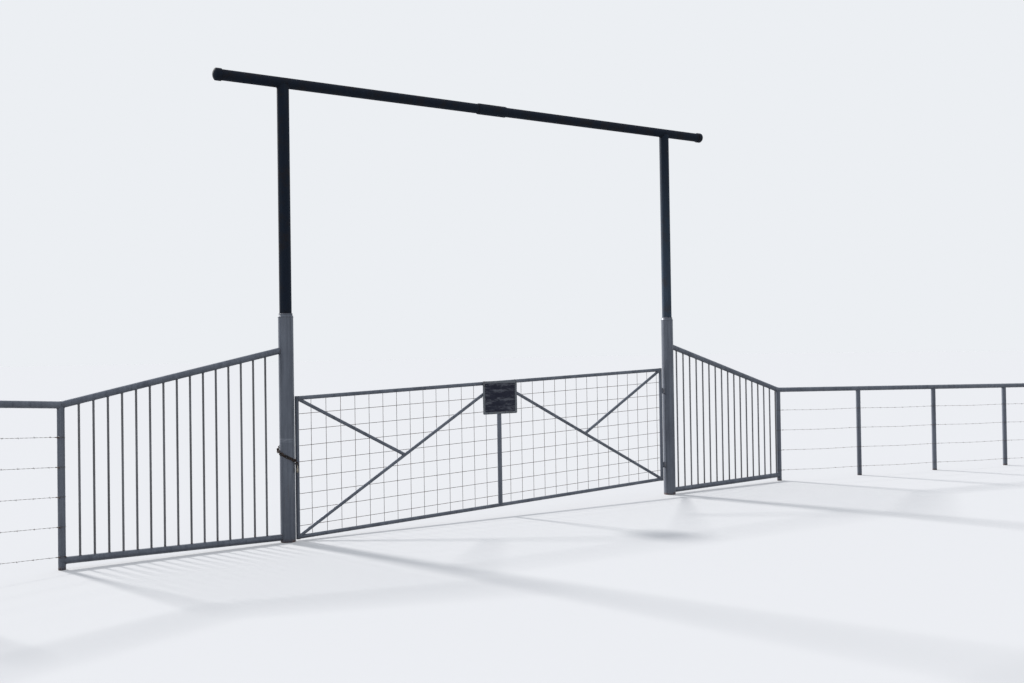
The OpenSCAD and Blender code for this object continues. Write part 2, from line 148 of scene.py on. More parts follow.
def cloud(tree, scale, stretch=(1, 1, 1), detail=4.0, rough=0.6):
    """Noise between 0 and 1. scale is in patches per metre."""
    return put(tree, "TexNoise", {
        "Vector": place(tree, stretch), "Scale": scale, "Detail": detail, "Roughness": rough}).outputs["Fac"]


def cut(tree, value, low, high):
    """0 below low, 1 above high, and a smooth rise between them."""
    return put(tree, "MapRange", {"Value": value, "From Min": low, "From Max": high},
               interpolation_type="SMOOTHSTEP").outputs["Result"]


def patches(tree, scale, low, high, **shape):
    """A cloud cut between two levels. shape is its stretch, detail and rough."""
    return cut(tree, cloud(tree, scale, **shape), low, high)


def spread(tree, value, low, high, start=0.0):
    """Goes evenly from low to high as value goes from start to 1."""
    return put(tree, "MapRange", {
        "Value": value, "From Min": start, "To Min": low, "To Max": high}).outputs["Result"]


# %% [markdown]
# Patterns are joined by arithmetic that stays between 0 and 1, and a mix of two colours takes the
# result as its share.

# %% Arithmetic and colour helpers
def calc(tree, operation, *values):
    """One step of arithmetic between sockets or numbers."""
    return put(tree, "Math", dict(enumerate(values)), operation=operation, use_clamp=True).outputs["Value"]


def times(tree, one, other):
    """The product of two values."""
    return calc(tree, "MULTIPLY", one, other)


def rest(tree, value):
    """What a value leaves of 1."""
    return calc(tree, "SUBTRACT", 1.0, value)


def most(tree, first, *others):
    """The greatest of several values."""
    return calc(tree, "MAXIMUM", first, most(tree, *others)) if others else first


def blend(tree, share, under, over, weight=None):
    """A colour between under and over, by share. weight makes the share weaker."""
    share = times(tree, share, weight) if weight else share
    return put(tree, "Mix", {"Factor": share, "A": under, "B": over}, data_type="RGBA").outputs["Result"]


def surface(name):
    """A new material: its tree and its principled shader."""
    made = bpy.data.materials.new(name)
    made.use_nodes = True
    return made, made.node_tree, made.node_tree.nodes["Principled BSDF"]


def relief(tree, shader, value, strength, distance):
    """Raises and sinks the surface by value. distance is its depth in metres."""
    bump = put(tree, "Bump", {"Height": value, "Strength": strength, "Distance": distance})
    feed(tree, shader, {"Normal": bump.outputs["Normal"]})


# %% [markdown]
# ## Rust
# Rust is never one colour. Old rust is nearly black brown and the thin bloom over it is lighter,
# so the colour wanders between the two. It also starts where water sits, so one mask finds the
# hollows beside welds and another finds the splashed zone just above the ground.

# %% Rust
RUST_DARK = rgb(46, 34, 29)
RUST_BRIGHT = rgb(112, 72, 50)
WELD_HOLLOW = 0.008


def rust_colour(tree, old=RUST_DARK, fresh=RUST_BRIGHT):
    """Brown that wanders between an old dark rust and a fresher lighter one."""
    return blend(tree, patches(tree, 34, 0.36, 0.7, detail=6), old, fresh)


def hollows(tree, reach):
    """1 in corners where another surface is nearer than reach, and 0 in the open."""
    openness = put(tree, "AmbientOcclusion", {"Distance": reach}, samples=6).outputs["AO"]
    return cut(tree, rest(tree, openness), 0.12, 0.55)


def splashed(tree, reach):
    """Specks up to reach in metres, that thicken to a ragged crust at the ground."""
    near = rest(tree, cut(tree, height(tree), 0.0, reach))
    lifted = calc(tree, "ADD", cloud(tree, 140, detail=6, rough=0.65), times(tree, near, 0.22))
    return cut(tree, lifted, 0.64, 0.76)


print("rust gathers within", round(1000 * WELD_HOLLOW), "mm of a joint")

# %% [markdown]
# ## Painted pipe
# The low pipes wear aluminium paint, put on by brush years ago. It has dulled in soft patches,
# and rain has left broad and fine darker runs. Chips show as specks, and a thin brown stain runs
# down from some of them. One function makes this finish, and the pickets use it with more rust.
# The chain has rubbed a pale band on the latch post, made of broken level scuffs.

# %% Aluminium paint
BRUSHED_COLOUR = rgb(176, 178, 182)
STAIN_COLOUR = rgb(92, 76, 66)
RUBBED_COLOUR = rgb(158, 164, 174)


def rub_mark(tree, low, high):
    """Broken level scuffs between two heights in metres."""
    soft = (high - low) / 3
    above_low = cut(tree, height(tree), low, low + soft)
    below_high = rest(tree, cut(tree, height(tree), high - soft, high))
    scuffs = patches(tree, 22, 0.38, 0.62, stretch=(1, 1, 9), detail=6)
    return times(tree, scuffs, times(tree, above_low, below_high))


def aluminium_paint(name, fresh, worn, foot_rust, speck_level, metal, rubbed=None):
    """Old aluminium paint. The ground's damp has rusted it up to foot_rust in metres."""
    made, tree, shader = surface(name)
    dull = patches(tree, 5, 0.14, 0.86, stretch=(1, 1, 0.35), detail=6)
    broad_runs = patches(tree, 30, 0.4, 0.7, stretch=(1, 1, 0.03), detail=3)
    fine_runs = patches(tree, 110, 0.46, 0.72, stretch=(1, 1, 0.02), detail=4)
    runs = calc(tree, "ADD", times(tree, broad_runs, 0.6), times(tree, fine_runs, 0.4))
    grain = patches(tree, 160, 0.35, 0.7, detail=4, rough=0.75)
    paint = blend(tree, dull, worn, fresh)
    paint = blend(tree, runs, paint, worn, 0.65)
    paint = blend(tree, grain, paint, BRUSHED_COLOUR, 0.16)
    if rubbed:
        paint = blend(tree, rub_mark(tree, *rubbed), paint, RUBBED_COLOUR, 0.55)

    worn_area = patches(tree, 3.5, 0.42, 0.6)
    specks = patches(tree, 120, speck_level, speck_level + 0.03, detail=8, rough=0.75)
    stains = patches(tree, 46, 0.62, 0.78, stretch=(1, 1, 0.035), detail=3)
    stains = times(tree, stains, times(tree, worn_area, 0.5))
    corners = times(tree, hollows(tree, WELD_HOLLOW), patches(tree, 60, 0.36, 0.6, detail=5))
    rust = most(tree, times(tree, specks, worn_area), splashed(tree, foot_rust), corners)
    feed(tree, shader, {
        "Base Color": blend(tree, rust, blend(tree, stains, paint, STAIN_COLOUR), rust_colour(tree)),
        "Metallic": times(tree, rest(tree, most(tree, rust, stains)), metal),
        "Roughness": spread(tree, most(tree, rust, runs), 0.4, 0.8)})
    brushed = calc(tree, "ADD", times(tree, grain, 0.4), times(tree, rust, cloud(tree, 420, detail=3)))
    relief(tree, shader, brushed, 0.5, 0.0007)
    return made


pipe_coat = dict(fresh=rgb(112, 119, 132), worn=rgb(76, 82, 95), foot_rust=0.06, speck_level=0.67, metal=0.3)
silver_paint = aluminium_paint("silver_paint", **pipe_coat)
latch_paint = aluminium_paint("latch_paint", **pipe_coat, rubbed=(0.935, 0.985))
picket_steel = aluminium_paint("picket_steel", rgb(124, 126, 132), rgb(90, 89, 91), foot_rust=0.25,
                               speck_level=0.64, metal=0.3)
print("aluminium paint in three states of wear")

# %% [markdown]
# ## Bare pipe
# The upper posts and the beam were never painted. Mill scale makes such pipe nearly black, with
# a blue cast where it is whole and brown bloom where it is gone. It is too rough to shine, and
# rain has drawn long faint streaks on it. The hinge post's upper length is a greyer pipe, and
# blackens towards the beam.

# %% Dark pipe
SCALE_BLACK = rgb(20, 30, 45)


def scaled_pipe(name, scale_colour, bloom_colour, streak_colour, blackened=None):
    """Bare pipe. It may blacken between two heights in metres."""
    made, tree, shader = surface(name)
    bloom = patches(tree, 7, 0.44, 0.7, detail=7, rough=0.7)
    fine = patches(tree, 140, 0.45, 0.7, detail=6, rough=0.7)
    streaks = patches(tree, 38, 0.5, 0.76, stretch=(1, 1, 0.04), detail=4)
    shade = blend(tree, fine, scale_colour, streak_colour, 0.3)
    shade = blend(tree, streaks, shade, streak_colour, 0.5)
    shade = blend(tree, bloom, shade, bloom_colour, 0.8)
    if blackened:
        shade = blend(tree, cut(tree, height(tree), *blackened), shade, SCALE_BLACK, 0.85)
    feed(tree, shader, {"Base Color": blend(tree, hollows(tree, 2 * WELD_HOLLOW), shade, RUST_DARK, 0.7),
                        "Roughness": 0.8, "Specular IOR Level": 0.2})
    relief(tree, shader, calc(tree, "ADD", times(tree, fine, 0.4), times(tree, bloom, 0.6)), 0.45, 0.001)
    return made


dark_pipe = scaled_pipe("dark_pipe", SCALE_BLACK, rgb(36, 32, 33), rgb(42, 52, 65))
slate_pipe = scaled_pipe("slate_pipe", rgb(63, 78, 95), rgb(73, 73, 78), rgb(98, 111, 127), (2.2, 4.35))
print("dark pipe in two shades")

# %% [markdown]
# ## Wire, chain and lock
# The wire has lost most of its zinc and is grey brown. The chain is dark with old rust and shows
# steel only where its links rub, and the padlock is plated steel. All three are rust with some
# brighter metal left, so one function makes them.

# %% Rusty metals
def rusted(name, bright, bright_share, metal, grain, old=RUST_DARK, fresh=RUST_BRIGHT):
    """Rusty steel, with a share of a brighter metal left in it."""
    made, tree, shader = surface(name)
    kept = patches(tree, grain, 1 - bright_share, 1.08 - bright_share, detail=6, rough=0.7)
    feed(tree, shader, {"Base Color": blend(tree, kept, rust_colour(tree, old, fresh), bright),
                        "Metallic": times(tree, kept, metal),
                        "Roughness": spread(tree, kept, 0.85, 0.4)})
    relief(tree, shader, cloud(tree, 700, detail=3), 0.5, 0.0005)
    return made


rusty_wire = rusted("rusty_wire", rgb(100, 98, 97), 0.54, 0.5, 30)
rusty_chain = rusted("rusty_chain", rgb(168, 166, 162), 0.38, 0.85, 190, rgb(29, 26, 25), rgb(72, 52, 42))
lock_metal = rusted("lock_metal", rgb(160, 155, 143), 0.6, 0.9, 80)
print("three rusty metals")

# %% [markdown]
# ## Sheet and sign
# The sign's backing is dull zinc sheet. Molten zinc sets in flat crystals, which a Voronoi pattern
# gives. The plate on it is navy paint, gone chalky in level bands, and chipped to bare metal.

# %% Sheet metals
def zinc_sheet(name):
    """Faint crystals a centimetre across, dimmed by white bloom and brown runs."""
    made, tree, shader = surface(name)
    wobble = put(tree, "TexNoise", {"Vector": place(tree), "Scale": 40.0}).outputs["Color"]
    wavy = put(tree, "Mix", {"Factor": 0.06, "A": place(tree), "B": wobble}, data_type="VECTOR")
    crystals = put(tree, "TexVoronoi", {"Vector": wavy.outputs["Result"], "Scale": 80.0})
    tone = put(tree, "RGBToBW", {"Color": crystals.outputs["Color"]}).outputs["Val"]
    metal = blend(tree, tone, rgb(98, 103, 110), rgb(116, 121, 128))
    metal = blend(tree, patches(tree, 18, 0.5, 0.75, detail=6, rough=0.7), metal, rgb(150, 152, 154), 0.5)
    runs = patches(tree, 40, 0.52, 0.74, stretch=(1, 1, 0.08), detail=4)
    metal = blend(tree, runs, metal, rgb(88, 74, 64), 0.55)
    feed(tree, shader, {"Base Color": blend(tree, hollows(tree, 0.004), metal, RUST_DARK, 0.8),
                        "Metallic": 0.5, "Roughness": 0.6})
    relief(tree, shader, cloud(tree, 90, detail=5), 0.2, 0.0006)
    return made


def sign_enamel(name):
    """Navy paint, chalky in level bands and clouds, and scratched in places."""
    made, tree, shader = surface(name)
    chalk = patches(tree, 16, 0.42, 0.72, detail=8, rough=0.75)
    bands = patches(tree, 24, 0.48, 0.62, stretch=(0.22, 1, 1), detail=7, rough=0.75)
    faded = blend(tree, chalk, rgb(17, 21, 42), rgb(76, 81, 98), 0.3)
    faded = blend(tree, bands, faded, rgb(126, 129, 141), 0.65)
    scratches = patches(tree, 70, 0.72, 0.75, stretch=(0.1, 1, 1.4), detail=3)
    worn = most(tree, scratches, patches(tree, 110, 0.7, 0.73, detail=6, rough=0.7))
    feed(tree, shader, {"Base Color": blend(tree, worn, faded, rgb(120, 122, 126)),
                        "Roughness": 0.55, "Specular IOR Level": 0.25})
    relief(tree, shader, rest(tree, worn), 0.4, 0.0004)
    return made


sheet_metal = zinc_sheet("sheet_metal")
sign_paint = sign_enamel("sign_paint")
print("zinc and navy paint")

# %% [markdown]
# ## Dressing the frame
# Every node of the frame already names the slot of its finish, as the name of its imported
# material. Swapping the material in that slot dresses the whole frame in one loop. Blender adds
# a number to a name that is taken, so only the part before the point counts.

# %% Dress the frame
def slot_of(material):
    """The slot that a material's name stands for."""
    return material.name.split(".")[0]


FINISHES = {slot_of(m): m for m in (silver_paint, dark_pipe, picket_steel, rusty_wire, rusty_chain,
                                    sheet_metal, sign_paint, lock_metal)}
slots = [m["slot"] for m in frame["record"]["materials"]]
for piece in frame["nodes"].values():
    wanted = slot_of(piece.material_slots[0].material)
    assert wanted in slots, wanted
    piece.material_slots[0].material = FINISHES[wanted]
frame["nodes"]["hinge_post_upper"].material_slots[0].material = slate_pipe
frame["nodes"]["latch_post_base"].material_slots[0].material = latch_paint
print(len(frame["nodes"]), "nodes dressed in", len(FINISHES), "finishes")

# %% [markdown]
# ## Measuring the frame
# A weld bead has to follow the line where two pipes meet, so the pipes are measured and not
# guessed. Every facet of a round surface faces square to its axis, which gives the axis. Seen
# along it the surface is a circle, and a least squares fit gives its centre and radius.

# %% Round surfaces
UPRIGHT = 0.7


class Pipe(namedtuple("Pipe", "start end radius")):
    """The axis of a pipe or bar, from end to end, and its radius."""

    @property
    def length(self):
        return (self.end - self.start).length

    @property
    def run(self):
        return (self.end - self.start).normalized()

    @property
    def middle(self):
        return (self.start + self.end) / 2


def surfaces(node):
    """The triangles of each separate surface of a node, as corner points."""
    mesh = frame["nodes"][node].data
    mesh.calc_loop_triangles()
    points = np.array([v.co for v in mesh.vertices])
    corners = np.array([t.vertices for t in mesh.loop_triangles])
    label = np.arange(len(points))
    while True:
        lowest = label[corners].min(axis=1)
        joined = label.copy()
        np.minimum.at(joined, corners.ravel(), np.repeat(lowest, 3))
        joined = joined[joined]
        if (joined == label).all():
            break
        label = joined
    owner = label[corners[:, 0]]
    return [points[corners[owner == one]] for one in np.unique(owner)]


def fit_round(triangles):
    """The axis and radius of the round surface that these triangles make."""
    a, b, c = triangles[:, 0], triangles[:, 1], triangles[:, 2]
    facing = np.cross(b - a, c - a)
    axis = np.linalg.eigh(facing.T @ facing)[1][:, 0]
    axis *= np.sign(axis[2]) if abs(axis[2]) > UPRIGHT else np.sign(axis[0])
    across = np.linalg.svd(axis[None])[2][1:]
    corners = triangles.reshape(-1, 3)
    flat = corners @ across.T
    fit = np.linalg.lstsq(np.c_[2 * flat, np.ones(len(flat))], (flat ** 2).sum(axis=1), rcond=None)[0]
    along = corners @ axis
    centre = fit[:2] @ across
    radius = math.sqrt(max(fit[2] + fit[0] ** 2 + fit[1] ** 2, 0))
    return Pipe(Vector(centre + axis * along.min()), Vector(centre + axis * along.max()), radius)


print(len(surfaces("latch_wing_pickets")), "surfaces in the latch wing's pickets")

# %% [markdown]
# A pipe's wall has an inside and an outside with one axis, so of all the surfaces that share a
# middle only the widest is kept. Flat faces and short rings fall out by their size.

# %% Pipes
FEW_TRIANGLES = 8
SHORTEST_PIPE = 0.07
SAME_MIDDLE = 0.03
SAME_RADIUS = 0.0003


def rounds(node, radius=None):
    """The round surfaces in a node, or only those of one radius."""
    fits = [fit_round(t) for t in surfaces(node) if len(t) > FEW_TRIANGLES]
    return [p for p in fits if radius is None or abs(p.radius - radius) < SAME_RADIUS]


def pipes(node):
    """The outside of each pipe or bar in a node, along x. An upright one starts at its foot."""
    fits = [p for p in rounds(node) if p.length > max(SHORTEST_PIPE, 2 * p.radius)]
    outside = []
    for one in sorted(fits, key=lambda p: -p.radius):
        if all((one.middle - other.middle).length > SAME_MIDDLE for other in outside):
            outside.append(one)
    return sorted(outside, key=lambda p: (round(p.start.x, 3), p.start.z))


def pipe(node):
    """The one long pipe of a node."""
    return max(pipes(node), key=lambda p: p.length)


beams = {side: pipe(f"beam_{side}_length") for side in SIDES}
print("beam diameter", round(2000 * beams["latch"].radius, 1), "mm;",
      len(pipes("latch_wing_pickets")), "and", len(pipes("hinge_wing_pickets")), "pickets")

# %% [markdown]
# ## Sweeping a tube
# Beads, wires and ties are all round sections moved along a path. One helper makes them: it
# needs a direction that the path never follows, to keep the section from twisting.

# %% Sweep
def unit(rows):
    """Each row brought to a length of 1."""
    return rows / np.linalg.norm(rows, axis=1)[:, None]


def skin(rings, sides, closed=False):
    """The faces between rings of points, with a flat face at each end of an open tube."""
    total = rings * sides
    here = np.arange(total if closed else total - sides).reshape(-1, sides)
    after = np.roll(here, -1, axis=1)
    faces = np.stack([here, after, (after + sides) % total, (here + sides) % total], axis=-1)
    ends = [] if closed else [list(range(sides))[::-1], list(range(total - sides, total))]
    return faces.reshape(-1, 4).tolist() + ends


def sweep(path, radius, up, sides=6, closed=False):
    """Points and faces of a tube along path. radius is one number or one for each point."""
    path = np.array([tuple(p) for p in path])
    if closed:
        tangent = np.roll(path, -1, axis=0) - np.roll(path, 1, axis=0)
    else:
        tangent = np.gradient(path, axis=0)
    side = unit(np.cross(tangent, tuple(up)))
    other = unit(np.cross(tangent, side))
    turn = np.arange(sides) * 2 * math.pi / sides
    ring = np.cos(turn)[None, :, None] * side[:, None] + np.sin(turn)[None, :, None] * other[:, None]
    radius = np.broadcast_to(radius, (len(path),))[:, None, None]
    return (path[:, None] + radius * ring).reshape(-1, 3), skin(len(path), sides, closed)


print("a tube through 4 points with 6 sides has", len(skin(4, 6)), "faces")

# %% [markdown]
# Paths need even steps, or a tube's rings bunch up in its bends. Many shapes then become one
# piece with one finish. Its long faces are shaded as one round surface, and cut ends stay flat.

# %% Even steps, and joining
def spaced(path, step):
    """The same path in even steps, and the distance along it of each point."""
    path = np.array([tuple(p) for p in path])
    reach = np.r_[0, np.cumsum(np.linalg.norm(np.diff(path, axis=0), axis=1))]
    marks = np.linspace(0, reach[-1], max(2, round(reach[-1] / step)))
    return np.stack([np.interp(marks, reach, path[:, k]) for k in range(3)], axis=1), marks


def loop(outline, step):
    """Evenly spaced points round a closed outline."""
    return spaced([*outline, outline[0]], step)[0][:-1]


def turns_of(count):
    """Angles evenly spaced round a circle."""
    return [2 * math.pi * n / count for n in range(count)]


def bent(first, second, turn):
    """The vector that a turn from first towards second gives."""
    return first * math.cos(turn) + second * math.sin(turn)


def around(axis, count):
    """Directions square to an axis, evenly spaced round it."""
    side = axis.orthogonal().normalized()
    other = axis.normalized().cross(side)
    return [bent(side, other, turn) for turn in turns_of(count)]


def join(name, shapes, finish, body):
    """One piece of the object from many shapes, in its finish and on its body."""
    points, faces, base = [], [], 0
    for shape_points, shape_faces in shapes:
        points.append(shape_points)
        faces += [[corner + base for corner in face] for face in shape_faces]
        base += len(shape_points)
    mesh = bpy.data.meshes.new(name)
    mesh.from_pydata(np.concatenate(points).tolist(), [], faces)
    mesh.polygons.foreach_set("use_smooth", [len(face) == 4 for face in faces])
    mesh.materials.append(finish)
    piece, slot = add(name, mesh), slot_of(finish)
    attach(piece, body)
    print(name, "from", len(shapes), "shapes,", sum(len(f) - 2 for f in faces), "triangles")
    return piece


print("a metre in steps of a centimetre has", len(spaced([(0, 0, 0), (1, 0, 0)], 0.01)[0]), "points")

# %% [markdown]
# ## Weld beads
# On the real gateway each pipe is cut to the shape of the one it meets and welded all round.
# From the far end of the branch, straight lines down its surface hit the main pipe one by one;
# those hits are the seam. The bead along it swells and thins in the small steps of the torch.

# %% Seams
BEAD = 0.0034
RIPPLE = 0.0042
SWELL = (0.86, 1.0, 1.12)


def steps_round(radius):
    """How many points go round a pipe, a whole number of ripples."""
    return len(SWELL) * round(2 * math.pi * radius / RIPPLE)


def hit(ray, run, main):
    """How far a ray goes before it meets the main pipe, or infinity if it misses."""
    axis = (main.end - main.start) / main.length
    gap, slide = (v - axis * v.dot(axis) for v in (ray - main.start, run))
    a, b, c = slide.dot(slide), 2 * gap.dot(slide), gap.dot(gap) - main.radius ** 2
    root = b * b - 4 * a * c
    if root <= 0 or a < 1e-9:
        return math.inf
    reach = (-b - math.sqrt(root)) / (2 * a)
    along = (ray + run * reach - main.start).dot(axis)
    return reach if -BEAD < along < main.length + BEAD else math.inf


def seam(branch, mains, at_end=True):
    """The closed line on which a branch pipe meets the nearest of the main pipes."""
    far, near = (branch.start, branch.end) if at_end else (branch.end, branch.start)
    run = (near - far).normalized()
    line = []
    for out in around(run, steps_round(branch.radius)):
        ray = far + branch.radius * out
        line.append(ray + run * min([(near - far).length] + [hit(ray, run, main) for main in mains]))
    return line, run


def bead(line, up, size=BEAD, seed=0):
    """A weld bead along a closed line, rippled like a row of overlapping coins."""
    chance = random.Random(seed)
    radius = [size * SWELL[n % len(SWELL)] * chance.uniform(0.93, 1.07) for n in range(len(line))]
    return sweep(line, radius, up, sides=7, closed=True)


def welded(branch, mains, at_end=True, size=BEAD, seed=0):
    """The bead round the end of a branch pipe."""
    return bead(*seam(branch, mains, at_end), size, seed)


print(len(seam(pipe("latch_post_upper"), [beams["latch"]])[0]), "points in the seam under the beam")

# %% [markdown]
# The posts come first: the ring that closes each lower length is welded below and above, the
# upper post is welded to the beam, and both wing rails to the post. Corner and fence posts follow.

# %% Welds of the gateway
RING_BEAD = 0.005
BEAM_BEAD = 0.004
FOOT_BEAD_SUNK = 0.001
TOP_BEAD_OUT = 0.003


def circle(centre, radius, count, z):
    """Points round an upright axis at a height."""
    return [Vector((centre.x + radius * math.cos(a), centre.y + radius * math.sin(a), z))
            for a in turns_of(count)]


gateway_beads, dark_beads = [], []
for side in SIDES:
    base, upper = pipe(f"{side}_post_base"), pipe(f"{side}_post_upper")
    corner, fence_rail = pipe(f"{side}_corner_post"), pipe(f"{side}_fence_rail")
    top_rail, foot_rail = (pipe(f"{side}_wing_{end}_rail") for end in ("top", "foot"))
    ring_foot, ring_top = (point.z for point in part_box(f"{side}_post_ring"))
    count = steps_round(base.radius)
    gateway_beads += [
        bead(circle(base.start, base.radius - FOOT_BEAD_SUNK, count, ring_foot), UP, seed=1),
        bead(circle(base.start, upper.radius + TOP_BEAD_OUT, count, ring_top), UP, RING_BEAD, seed=2),
        welded(top_rail, [base], side == "latch", seed=4),
        welded(foot_rail, [base], side == "latch", seed=4),
        welded(foot_rail, [corner], side == "hinge", seed=5),
        welded(corner, [top_rail, fence_rail], seed=6),
        *(welded(post, [fence_rail], seed=7) for post in pipes(f"{side}_fence_posts"))]
    dark_beads.append(welded(upper, [beams[side]], size=BEAM_BEAD, seed=3))
join("gateway_weld_beads", gateway_beads, silver_paint, "gateway")
join("beam_weld_beads", dark_beads, dark_pipe, "gateway")

# %% [markdown]
# Each picket is a thin solid bar, with a smaller bead at either end. A seed of its own gives every
# bead its own small unevenness.

# %% Welds of the pickets
PICKET_BEAD = 0.0026
for side in SIDES:
    top_rail, foot_rail = (pipe(f"{side}_wing_{end}_rail") for end in ("top", "foot"))
    picket_beads = []
    for n, picket in enumerate(pipes(f"{side}_wing_pickets")):
        picket_beads.append(welded(picket, [top_rail], size=PICKET_BEAD, seed=n))
        picket_beads.append(welded(picket, [foot_rail], False, PICKET_BEAD, seed=n + 50))
    join(f"{side}_picket_beads", picket_beads, silver_paint, "gateway")

# %% [markdown]
# Over each corner post the wing's rail and the fence's rail meet in a mitre, like the corner of a
# picture frame. Its plane halves the angle between the two rails, so a point on the outside of
# the wing's rail only has to slide along that rail until it reaches the plane.

# %% Mitre beads
MITRE_BEAD = 0.003
mitres = []
for side in SIDES:
    wing, fence = pipe(f"{side}_wing_top_rail"), pipe(f"{side}_fence_rail")
    corner = pipe(f"{side}_corner_post").start
    across = sum(((p.end - p.start).xy.normalized() for p in (wing, fence)), Vector((0, 0))).to_3d()
    line = []
    for out in around(wing.run, steps_round(wing.radius)):
        spot = wing.start + wing.radius * out
        line.append(spot + wing.run * ((corner - spot).dot(across) / wing.run.dot(across)))
    mitres.append(bead(line, wing.run, MITRE_BEAD, seed=9))
join("mitre_beads", mitres, silver_paint, "gateway")

# %% [markdown]
# The coupling and the caps of the beam are screwed on, and a few turns of thread stay in sight
# beside them. Each is one fine wire wound on the beam, that sinks into it away from its fitting.

# %% Threads
THREAD_PITCH = 0.0032
THREAD_TURNS = 5
THREAD_RISE = 0.0008
THREAD_POINTS = 48


def thread(side, x, way):
    """The turns of thread on one length of the beam, from x on, in the direction way."""
    beam = beams[side]
    first = beam.start + beam.run * ((x - beam.start.x) / beam.run.x)
    path = []
    for n, out in enumerate(around(beam.run, THREAD_POINTS) * THREAD_TURNS):
        turns = n / THREAD_POINTS
        sunk = THREAD_RISE * turns / THREAD_TURNS
        path.append(first + beam.run * (way * THREAD_PITCH * turns) + out * (beam.radius - sunk))
    return sweep(path, THREAD_RISE, beam.run, sides=5)


coupling, latch_cap, hinge_cap = (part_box(f"beam_{name}") for name in ("coupling", "latch_cap", "hinge_cap"))
join("beam_threads", [thread("latch", coupling[0].x, -1), thread("hinge", coupling[1].x, 1),
                      thread("latch", latch_cap[1].x, 1), thread("hinge", hinge_cap[0].x, -1)],
     dark_pipe, "gateway")

# %% [markdown]
# The gate's frame is welded the same way. A long brace meets two pipes at each of its ends, so
# its seam takes whichever of them is nearer at each point. The table says which pipe ends on
# which, whether with its far end, and the bead's seed.

# %% Welds of the gate
GATE_BEAD = 0.003
gate = {name: pipe(f"gate_{name}") for name in (
    "top_rail", "foot_rail", "latch_stile", "hinge_stile", "middle_stile",
    "latch_long_brace", "latch_short_brace", "hinge_long_brace", "hinge_short_brace")}
joints = [("top_rail", "hinge_stile", True, 1), ("top_rail", "latch_stile", False, 2),
          ("foot_rail", "hinge_stile", True, 1), ("foot_rail", "latch_stile", False, 2),
          ("middle_stile", "top_rail", True, 3), ("middle_stile", "foot_rail", False, 4)]
for side in SIDES:
    inner = side == "latch"
    joints += [(f"{side}_long_brace", "top_rail middle_stile", inner, 5),
               (f"{side}_long_brace", f"foot_rail {side}_stile", not inner, 6),
               (f"{side}_short_brace", f"top_rail {side}_stile", not inner, 7),
               (f"{side}_short_brace", f"{side}_long_brace", inner, 8)]
join("gate_weld_beads", [welded(gate[branch], [gate[main] for main in mains.split()], at_end, GATE_BEAD, seed)
                         for branch, mains, at_end, seed in joints], silver_paint, "gate_leaf")

# %% [markdown]
# The lugs under the hinges are flat bars welded to the post, and each eye has a flat web welded
# to the gate's stile. The bead of a flat bar is a rectangle with round corners, wrapped on the
# round pipe behind it. The pins end in a low dome, as a cut and filed bar does.

# %% Hinge welds
EYE_RADIUS = 0.012
PIN_RADIUS = 0.008
FILED = 0.0004
PIN_DOME = 0.0022
HINGE_BEAD = 0.0026
BAR_CORNER = 0.004
OUT_OF_BAR = 0.001
DOME = ((0.0, 1.0), (0.4, 0.98), (0.75, 0.8), (0.95, 0.45), (1.0, 0.12))


def rounded(half_width, half_height, corner, steps=5):
    """The flat outline of a rectangle with round corners."""
    points = []
    for quarter, (u, v) in enumerate(((1, 1), (-1, 1), (-1, -1), (1, -1))):
        for n in range(steps + 1):
            turn = (quarter + n / steps) * math.pi / 2
            points.append((u * (half_width - corner) + corner * math.cos(turn),
                           v * (half_height - corner) + corner * math.sin(turn)))
    return points


def wrapped(post, way, half_width, low, high):
    """The bead round a flat bar on the side of an upright post. way is 1 or -1 along x."""
    line = [Vector((post.start.x + way * math.sqrt(post.radius ** 2 - y ** 2), y, (low + high) / 2 + z))
            for y, z in rounded(half_width + OUT_OF_BAR, (high - low) / 2, BAR_CORNER)]
    return bead(loop(line, RIPPLE / len(SWELL)), (1, 0, 0), HINGE_BEAD, seed=round(1000 * low))


def dome(centre, way, radius, rise, sides=14):
    """A low round head on a surface, that rises in the direction way."""
    path = [centre + way * (rise * share) for share, _ in DOME]
    return sweep(path, [radius * width for _, width in DOME], way.orthogonal(), sides=sides)


post = pipe("hinge_post_base")
lugs = [wrapped(post, -1, EYE_RADIUS, lug.start.z - OUT_OF_BAR, lug.end.z + OUT_OF_BAR)
        for lug in rounds("hinge_pins", EYE_RADIUS)]
tips = [dome(pin.end, UP, PIN_RADIUS - FILED, PIN_DOME, sides=24)
        for pin in rounds("hinge_pins", PIN_RADIUS)]
eyes = [wrapped(gate["hinge_stile"], 1, PIN_RADIUS, eye.start.z + OUT_OF_BAR, eye.end.z + OUT_OF_BAR)
        for eye in rounds("gate_hinge_eyes", EYE_RADIUS)]
join("hinge_lug_beads", lugs + tips, silver_paint, "gateway")
join("hinge_eye_beads", eyes, silver_paint, "gate_leaf")

# %% [markdown]
# ## Barbed wire
# A strand is two thin wires twisted round each other, so the frame's plain bar is replaced by a
# real pair. Its path goes nearly once round the first post, along the fence with a slight sag in
# each bay, and as far round the last post. Each wire winds about that path like a screw thread,
# and near both ends a tight winding ties the strand off.

# %% Strand paths
WIRE = 0.0010
TWIST = 0.075
SAG = 0.006
WRAP = math.radians(325)
WRAP_STEPS = 26
WRAP_DROP = 0.009
PATH_STEP = 0.012
WINDING = 0.032
WINDING_TURNS = 13


def at_height(point, z):
    """The place above or below a point, at a height."""
    return Vector((point.x, point.y, z))


def sagging(line, share, bays):
    """The point of a strand at a share of its length, with its bay's sag."""
    return line.start.lerp(line.end, share) - UP * (SAG * math.sin(math.pi * (share * bays % 1)) ** 2)


